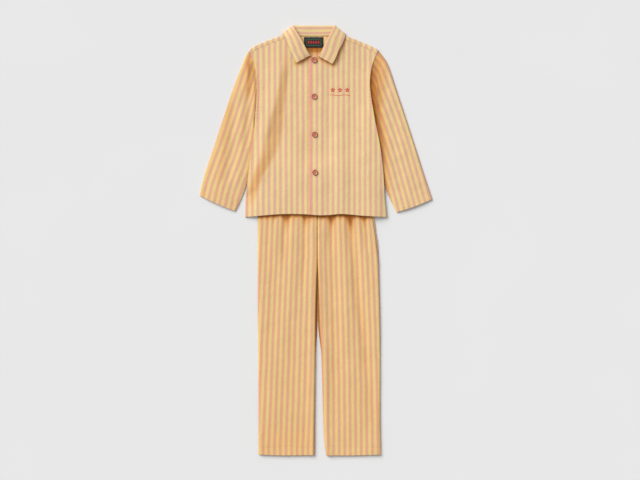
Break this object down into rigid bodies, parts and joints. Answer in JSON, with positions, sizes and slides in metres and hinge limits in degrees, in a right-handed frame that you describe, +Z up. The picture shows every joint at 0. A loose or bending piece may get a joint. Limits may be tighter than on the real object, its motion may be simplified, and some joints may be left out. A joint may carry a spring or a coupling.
{
  "type": "pyjama set",
  "caption": "Child's striped cotton pyjamas laid flat: a buttoned long-sleeved shirt with a turned-down collar over long trousers.",
  "frame": {"origin": "middle of the laid-out set's outline, on the surface that it lies on", "axes": "+X to the wearer's left, +Y towards the collar, +Z up from the surface, out of the garments' fronts"},
  "size_m": [0.582, 1.0741, 0.0166],
  "materials": {
    "striped_cotton": "woven cotton with soft pink and yellow stripes 7 mm wide",
    "label_cloth": "black woven tape with pale bars",
    "button_resin": "pearly salmon resin"
  },
  "bodies": {
    "root": {"shirt_back": "striped_cotton", "shirt_front_right": "striped_cotton", "shirt_front_left": "striped_cotton", "sleeve_right": "striped_cotton", "sleeve_left": "striped_cotton", "collar": "striped_cotton", "neck_label": "label_cloth", "button_1": "button_resin", "button_2": "button_resin", "button_3": "button_resin", "button_4": "button_resin", "trouser_back_right": "striped_cotton", "trouser_front_right": "striped_cotton", "trouser_back_left": "striped_cotton", "trouser_front_left": "striped_cotton", "pocket_facing_left": "striped_cotton", "waistband": "striped_cotton"}
  },
  "joints": []
}
